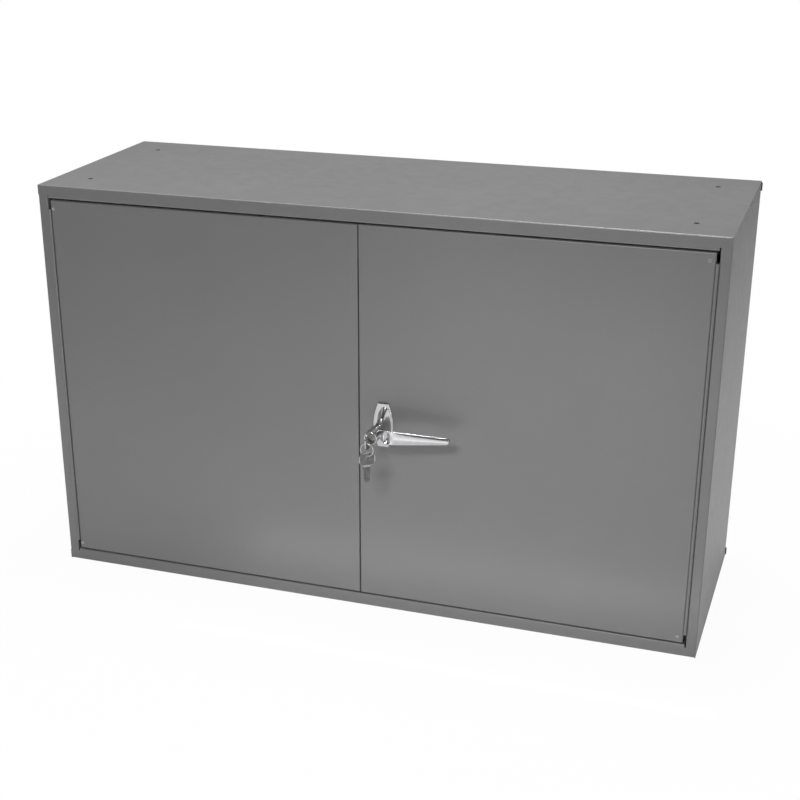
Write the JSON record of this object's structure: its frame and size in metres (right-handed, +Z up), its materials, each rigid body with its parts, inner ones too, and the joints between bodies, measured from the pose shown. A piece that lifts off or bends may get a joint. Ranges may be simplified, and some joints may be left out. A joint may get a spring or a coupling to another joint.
{
  "type": "tool cabinet with doors",
  "caption": "Steel tool cabinet with hinged doors, an inner shelf, a keyed turn handle that drives latch rods, and a key ring with a spare key.",
  "frame": {"origin": "centre of the carcass's underside", "axes": "+X to the right along the width, +Y to the back, +Z up; the doors face -Y"},
  "size_m": [0.899, 0.3844, 0.5455],
  "materials": {
    "grey_paint": "satin grey enamel over steel sheet",
    "zinc_plate": "bright zinc plate",
    "satin_chrome": "satin chrome over a die casting",
    "nickel": "nickel plate",
    "spring_steel": "drawn wire",
    "black_ferrite": "ground ferrite",
    "black_plastic": "moulded",
    "bumper_rubber": "soft black",
    "brass": "machined"
  },
  "bodies": {
    "carcass": {"top_panel": "grey_paint", "bottom_panel": "grey_paint", "left_side": "grey_paint", "right_side": "grey_paint", "back_panel": "grey_paint", "shelf": "grey_paint", "shelf_clips": "zinc_plate", "left_shelf_standards": "grey_paint", "right_shelf_standards": "grey_paint", "left_hinge_frame_leaf": "grey_paint", "right_hinge_frame_leaf": "grey_paint", "left_hinge_pin": "zinc_plate", "right_hinge_pin": "zinc_plate", "catch_housing": "black_plastic", "catch_magnet": "black_ferrite", "catch_poles": "zinc_plate", "catch_screws": "zinc_plate", "door_bumpers": "bumper_rubber"},
    "left_door": {"left_door": "grey_paint", "left_door_gussets": "grey_paint", "left_door_rivets": "zinc_plate", "left_hinge_door_leaf": "grey_paint", "strike_plate": "zinc_plate", "strike_rivets": "zinc_plate"},
    "right_door": {"right_door": "grey_paint", "right_door_gussets": "grey_paint", "right_door_rivets": "zinc_plate", "right_hinge_door_leaf": "grey_paint", "escutcheon": "satin_chrome", "escutcheon_screws": "zinc_plate", "escutcheon_washers": "zinc_plate", "rod_guides": "zinc_plate", "guide_rivets": "zinc_plate"},
    "handle": {"handle_lever": "satin_chrome", "spindle": "zinc_plate", "latch_cam": "zinc_plate", "cam_pins": "zinc_plate", "cam_washer": "zinc_plate", "cam_screw": "zinc_plate", "lock_cylinder": "nickel"},
    "lock_plug": {"lock_plug": "nickel"},
    "locking_dog": {"locking_dog": "brass"},
    "lock_key": {"lock_key": "nickel"},
    "key_ring": {"key_ring": "spring_steel"},
    "spare_key": {"spare_key": "nickel"},
    "top_rod": {"top_latch_rod": "zinc_plate"},
    "bottom_rod": {"bottom_latch_rod": "zinc_plate"}
  },
  "joints": [
    {"name": "right_door_swing", "type": "hinge", "parent": "carcass", "child": "right_door", "pos_m": [0.4328, -0.1546, 0.2692], "axis": [0, 0, 1], "range_deg": [0, 170]},
    {"name": "left_door_swing", "type": "hinge", "parent": "carcass", "child": "left_door", "pos_m": [-0.4328, -0.1546, 0.2692], "axis": [0, 0, -1], "range_deg": [0, 170]},
    {"name": "handle_turn", "type": "hinge", "parent": "right_door", "child": "handle", "pos_m": [0.032, -0.154, 0.2692], "axis": [0, 1, 0], "range_deg": [0, 90]},
    {"name": "top_rod_slide", "type": "slide", "parent": "right_door", "child": "top_rod", "axis": [0, 0, 1], "range_m": [0, 0.0227]},
    {"name": "bottom_rod_slide", "type": "slide", "parent": "right_door", "child": "bottom_rod", "axis": [0, 0, -1], "range_m": [0, 0.0227]},
    {"name": "key_turn", "type": "hinge", "parent": "handle", "child": "lock_plug", "pos_m": [0.032, -0.204, 0.2692], "axis": [0, 1, 0], "range_deg": [0, 90]},
    {"name": "dog_slide", "type": "slide", "parent": "handle", "child": "locking_dog", "axis": [0, 0, 1], "range_m": [0, 0.0011]},
    {"name": "key_pull", "type": "slide", "parent": "lock_plug", "child": "lock_key", "axis": [0, -1, 0], "range_m": [0, 0.02]},
    {"name": "key_ring_swing", "type": "hinge", "parent": "lock_key", "child": "key_ring", "pos_m": [0.032, -0.223, 0.2671], "axis": [1, 0, 0], "range_deg": [-20, 25]},
    {"name": "spare_key_swing", "type": "hinge", "parent": "key_ring", "child": "spare_key", "pos_m": [0.032, -0.223, 0.2505], "axis": [1, 0, 0], "range_deg": [-25, 25]}
  ],
  "couplings": [
    {"joint": "top_rod_slide", "follows": "handle_turn", "m_per_rad": 0.014405},
    {"joint": "bottom_rod_slide", "follows": "handle_turn", "m_per_rad": 0.014405},
    {"joint": "dog_slide", "follows": "key_turn", "m_per_rad": 0.00070028}
  ]
}
